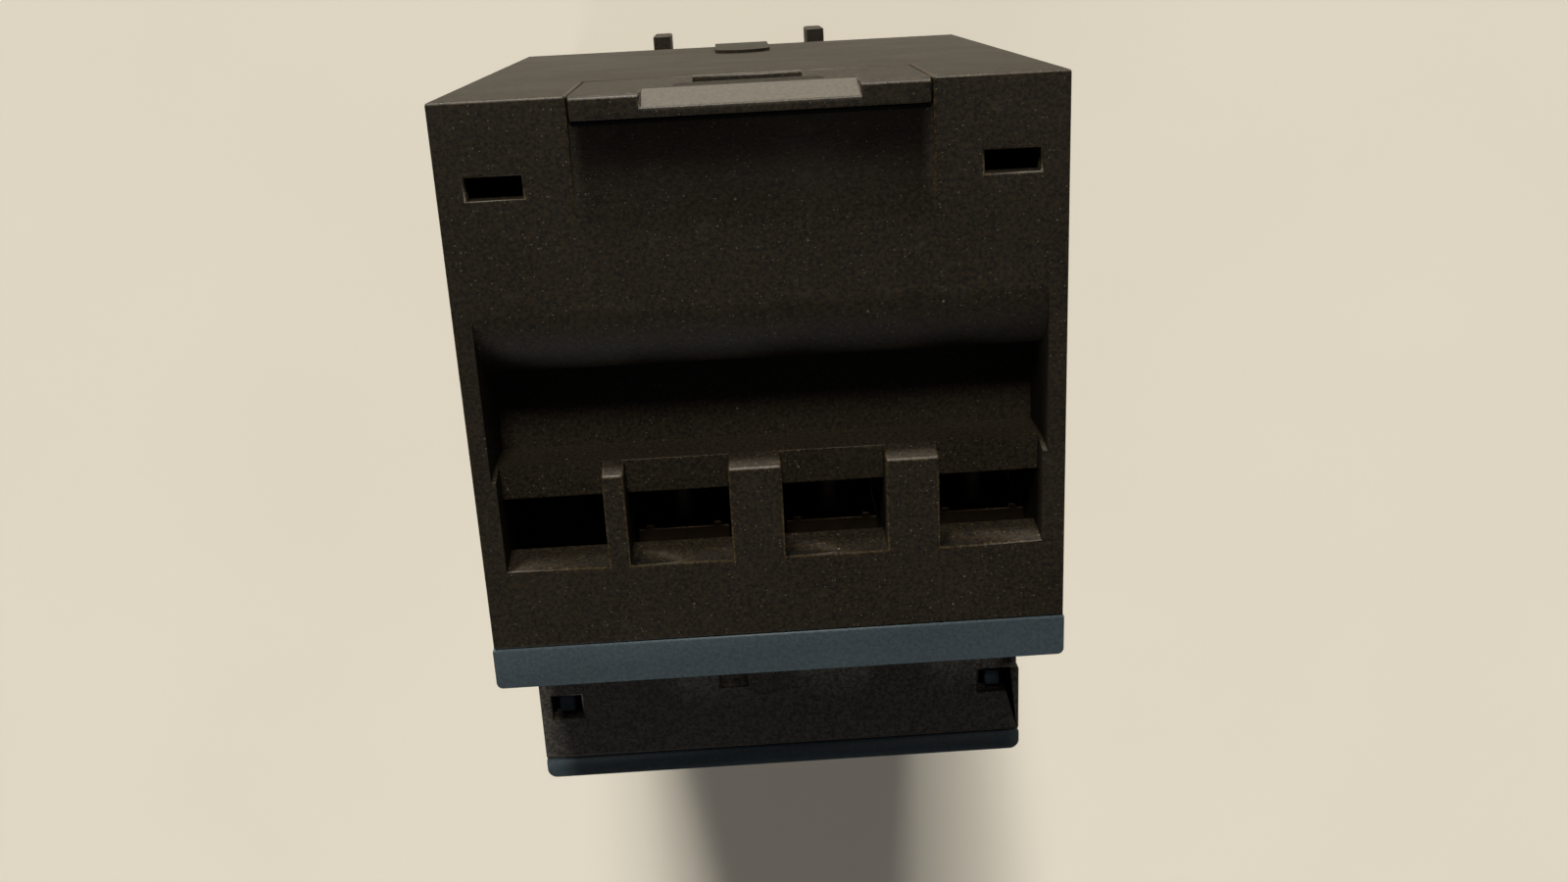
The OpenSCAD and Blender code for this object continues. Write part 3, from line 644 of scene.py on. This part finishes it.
# %% Pads and lines on the side walls
PROUD = 0.08 * MM
PAD_RADIUS = 2.4 * MM
FIRST_PAD = (-8 * MM, -16 * MM)
PAD_STEP = (0, 0, 38 * MM)
FIRST_SPACER = (-27 * MM, 22 * MM)
SPACER_STEP = (0, 0, 2.6 * MM)
wall_lo, wall_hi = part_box("rear_housing")
for side, wall_x in (("left", wall_lo[0]), ("right", wall_hi[0])):
    sizes = {"count": 3, "start": (wall_x, *FIRST_PAD), "step": PAD_STEP}
    pads = pad(PAD_RADIUS, 2 * PROUD)
    repeated("ejector_pads_" + side, "housing", pads, plastics["black"], "black_moulding", **sizes)
    sizes = {"count": 7, "start": (wall_x, *FIRST_SPACER), "step": SPACER_STEP}
    line = block((2 * PROUD, 9 * MM, 0.7 * MM), 0.03 * MM)
    repeated("spacer_lines_" + side, "housing", line, plastics["black"], "black_moulding", **sizes)

# %% Grip lines on the latch head
GRIP_DROP = 4.4 * MM
GRIP_STEP = (0, 0, -0.9 * MM)
line = block((11 * MM, 2 * PROUD, 0.35 * MM), 0.03 * MM)
sizes = {"count": 3, "start": (0, latch_rear - PROUD, latch_top - GRIP_DROP), "step": GRIP_STEP}
repeated("latch_grip_lines", "latch", line, plastics["black"], "black_moulding", **sizes)

# %% [markdown]
# ## Generic marks
#
# The front carries a few plain marks: I and O beside the handle, numbers on the dial's scale and
# terminal numbers on the covers. Each is a text object, made a thin mesh before it is placed, so
# its object can stay at the origin.


# %% A mark on a flat face
PRINT_THICK = 0.06 * MM


def mark(name, text, size, at):
    curve = bpy.data.curves.new(name, "FONT")
    curve.body = text
    curve.size = size
    curve.extrude = PRINT_THICK / 2
    curve.align_x = "CENTER"
    curve.align_y = "CENTER"
    writer = bpy.data.objects.new(name + "_text", curve)
    bpy.context.collection.objects.link(writer)
    bpy.context.view_layer.update()
    mesh = bpy.data.meshes.new_from_object(writer.evaluated_get(bpy.context.evaluated_depsgraph_get()))
    bpy.data.objects.remove(writer)
    mesh.transform(Matrix.Translation(at) @ Matrix.Rotation(math.pi / 2, 4, "X"))
    mesh.materials.clear()
    piece = new_piece(name, mesh, white_print)
    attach(piece, "housing")


# %% Letter the front
LETTER_SIZE = 3.2 * MM
SCALE_SIZE = 1.8 * MM
SCALE_REACH = 9.4 * MM
TERMINAL_SIZE = 2.0 * MM
TERMINAL_DROP = 6.2 * MM
mark("mark_on", "I", LETTER_SIZE, (-3.4 * MM, face_y, centre_z + 16.9 * MM))
mark("mark_off", "O", LETTER_SIZE, (-18.6 * MM, face_y, centre_z + 3.4 * MM))
for number, angle in enumerate((-120, -60, 0, 60), start=1):
    turn = math.radians(angle)
    across = SCALE_REACH * math.sin(turn)
    at = (dial_at[0] + across, face_y, dial_at[1] + SCALE_REACH * math.cos(turn))
    mark(f"mark_scale_{number}", str(number), SCALE_SIZE, at)
cover_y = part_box("upper_terminal_cover")[0][1]
for pole in (1, 2, 3):
    for end, number, drop in (("line", 2 * pole - 1, -TERMINAL_DROP), ("load", 2 * pole, TERMINAL_DROP)):
        low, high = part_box(f"{end}_screw_{pole}")
        at = ((low[0] + high[0]) / 2, cover_y, (low[2] + high[2]) / 2 + drop)
        mark(f"mark_terminal_{number}", str(number), TERMINAL_SIZE, at)

# %% [markdown]
# ## Floor and light
#
# The background is one pale matt surface. A soft key light stands behind and above the breaker, low
# enough to leave the end groove in shadow. A second light comes almost level from the rear and
# picks out the faces that look that way. A weak front light fills the cover and the handle. The
# world is pale at the horizon and dim overhead, which keeps its reflection off the end face.

# %% Lay the floor
FLOOR_HALF = 8.0
floor_z = cad_box[0][2]
grid = bmesh.new()
bmesh.ops.create_grid(grid, x_segments=1, y_segments=1, size=FLOOR_HALF)
bmesh.ops.translate(grid, vec=(0, 0, floor_z), verts=grid.verts)
floor_mesh = bpy.data.meshes.new("floor")
grid.to_mesh(floor_mesh)
grid.free()
paper = Finish("pale table")
weave = paper.noise(40 * MM, 3)
floor_finish = paper.done(
    Base_Color=paper.blend(weave, (0.80, 0.75, 0.65, 1), (0.84, 0.79, 0.69, 1)),
    Roughness=0.85 + weave * 0.1,
    Specular_IOR_Level=0.0,
)
new_piece("floor", floor_mesh, floor_finish)
print("floor height, mm:", round(floor_z / MM, 2))


# %% Hang the lights
def hang(name, kind, at, aim, power, colour, **settings):
    data = bpy.data.lights.new(name, kind)
    data.energy = power
    data.color = colour
    for key, value in settings.items():
        setattr(data, key, value)
    lamp = bpy.data.objects.new(name, data)
    bpy.context.collection.objects.link(lamp)
    lamp.location = at
    lamp.rotation_euler = (Vector(aim) - Vector(at)).to_track_quat("-Z", "Y").to_euler()


hang("key", "SUN", (-0.05, 1.0, 0.76), (0, 0, 0), 3.3, (1, 0.97, 0.90), angle=math.radians(12))
hang("low rear light", "SUN", (-0.12, 1.0, 0.07), (0, 0, 0), 5.5, (1, 0.96, 0.88), angle=math.radians(5))
hang("front fill", "AREA", (-1.0, -2.4, 0.3), (0, 0, 0.02), 24, (1, 0.98, 0.95), size=1.0)
print("lights:", len(bpy.data.lights))

# %% Paint the world
SKY_HORIZON = (0.52, 0.49, 0.435, 1)
SKY_OVERHEAD = (0.055, 0.055, 0.057, 1)
SKY_FADES = (0.2, 0.42)


def paint_world():
    world = bpy.data.worlds.new("studio")
    bpy.context.scene.world = world
    world.use_nodes = True
    tree = world.node_tree
    where = tree.nodes.new("ShaderNodeTexCoord")
    split = tree.nodes.new("ShaderNodeSeparateXYZ")
    ramp = tree.nodes.new("ShaderNodeValToRGB")
    ramp.color_ramp.interpolation = "EASE"
    for element, height, colour in zip(ramp.color_ramp.elements, SKY_FADES, (SKY_HORIZON, SKY_OVERHEAD)):
        element.position = height
        element.color = colour
    tree.links.new(where.outputs["Generated"], split.inputs[0])
    tree.links.new(split.outputs["Z"], ramp.inputs["Fac"])
    tree.links.new(ramp.outputs["Color"], tree.nodes["Background"].inputs["Color"])


paint_world()
bpy.context.scene.view_settings.view_transform = "Standard"
bpy.context.scene.view_settings.look = "None"
print("world:", bpy.context.scene.world.name)

# %% [markdown]
# ## The CAD box
#
# The CAD box was kept before anything was added, and is printed here.

# %% Print the CAD box and finish
print("CAD box:", cad_box)
